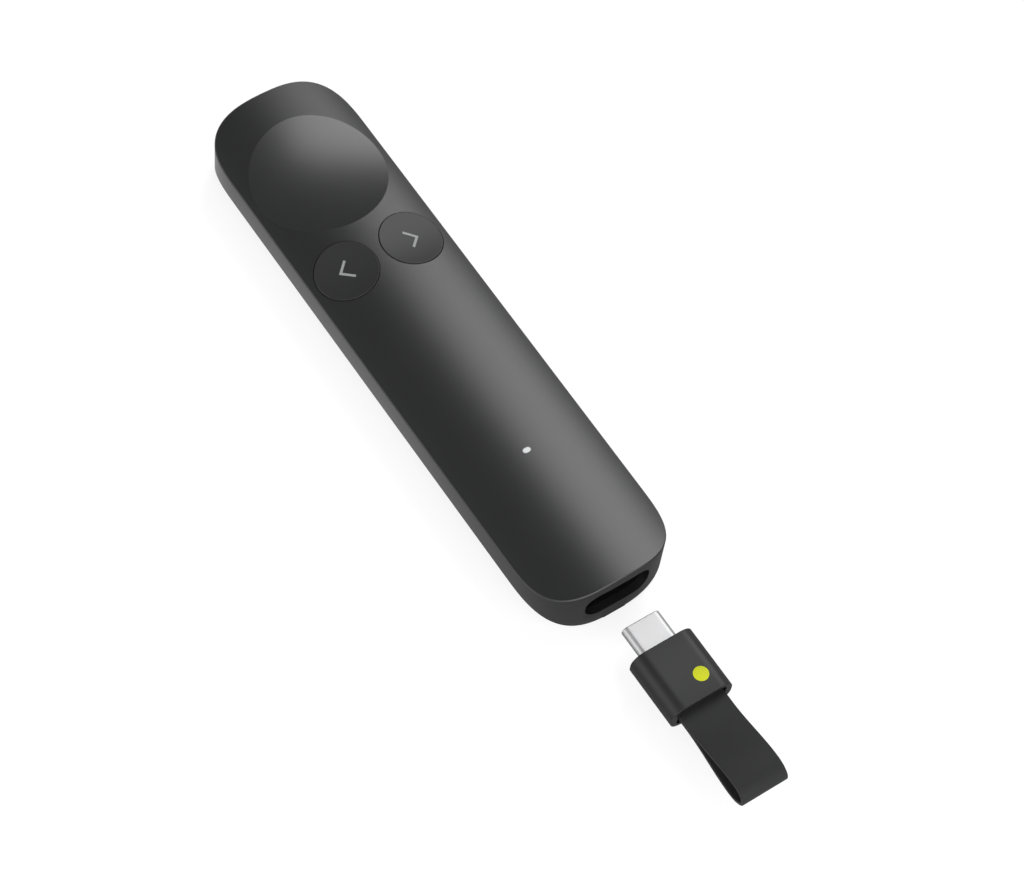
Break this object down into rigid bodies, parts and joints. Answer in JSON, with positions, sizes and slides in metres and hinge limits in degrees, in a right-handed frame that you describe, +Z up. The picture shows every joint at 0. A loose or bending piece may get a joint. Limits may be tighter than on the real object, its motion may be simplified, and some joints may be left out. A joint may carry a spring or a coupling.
{
  "type": "wireless presentation clicker",
  "caption": "Slim hand-held clicker with a large dished pointer button, small back and next buttons, and a plug-in receiver on a pull strap that slides into a bay in its tail.",
  "frame": {"origin": "middle of the flat face of the rubber rest strip on the belly", "axes": "X across the body, +Y along it towards the pointer button, +Z up through the buttons; the receiver slides out along -Y"},
  "size_m": [0.03, 0.1715, 0.014],
  "materials": {
    "body_gloss": "satin dark grey",
    "belly_matte": "fine matte dark grey",
    "strip_rubber": "matte black",
    "button_gloss": "satin dark grey",
    "button_matte": "fine matte dark grey",
    "switch_black": "matte black",
    "plunger_cream": "cream",
    "pipe_clear": "clear, lit white",
    "led_white": "white",
    "board_green": "green solder mask",
    "chip_black": "moulded black",
    "shield_tin": "tinned",
    "antenna_ceramic": "white ceramic",
    "motor_steel": "bright",
    "cell_pouch": "foil pouch",
    "foam_black": "soft foam",
    "cradle_grey": "moulded grey",
    "lead_red": "insulated wire",
    "socket_cream": "moulded cream",
    "screw_steel": "zinc plated",
    "sleeve_black": "matte black",
    "port_steel": "drawn",
    "contact_gold": "gold plated",
    "case_satin": "satin dark grey",
    "plug_steel": "bright satin",
    "strap_rubber": "soft matte dark grey",
    "pin_steel": "drawn"
  },
  "bodies": {
    "body": {"upper_shell": "body_gloss", "belly_cover": "belly_matte", "rest_strip": "strip_rubber", "cover_screws": "screw_steel", "pointer_switch": "switch_black", "back_switch": "switch_black", "next_switch": "switch_black", "light_pipe": "pipe_clear", "status_led": "led_white", "main_board": "board_green", "processor_chip": "chip_black", "charger_chip": "chip_black", "motion_sensor": "chip_black", "radio_shield": "shield_tin", "chip_antenna": "antenna_ceramic", "haptic_motor": "motor_steel", "battery_cell": "cell_pouch", "battery_foam": "foam_black", "battery_cradle": "cradle_grey", "battery_lead": "lead_red", "battery_socket": "socket_cream", "bay_sleeve": "sleeve_black", "port_shell": "port_steel", "port_tongue": "chip_black", "port_contacts": "contact_gold"},
    "pointer": {"pointer_button": "button_gloss", "pointer_plunger": "plunger_cream"},
    "back": {"back_button": "button_matte", "back_plunger": "plunger_cream"},
    "next": {"next_button": "button_matte", "next_plunger": "plunger_cream"},
    "receiver": {"receiver_housing": "case_satin", "receiver_nose": "case_satin", "plug_shell": "plug_steel", "plug_insert": "chip_black", "plug_contacts": "contact_gold", "receiver_board": "board_green", "receiver_chip": "chip_black", "strap_loop": "strap_rubber", "strap_pin": "pin_steel"}
  },
  "joints": [
    {"name": "dock", "type": "slide", "parent": "body", "child": "receiver", "axis": [0, 1, 0], "range_m": [0, 0.02645]},
    {"name": "pointer_press", "type": "slide", "parent": "body", "child": "pointer", "axis": [0, 0, -1], "range_m": [0, 0.0004], "stiffness_N_per_m": 2500},
    {"name": "back_press", "type": "slide", "parent": "body", "child": "back", "axis": [0, 0, -1], "range_m": [0, 0.0004], "stiffness_N_per_m": 2500},
    {"name": "next_press", "type": "slide", "parent": "body", "child": "next", "axis": [0, 0, -1], "range_m": [0, 0.0004], "stiffness_N_per_m": 2500}
  ]
}
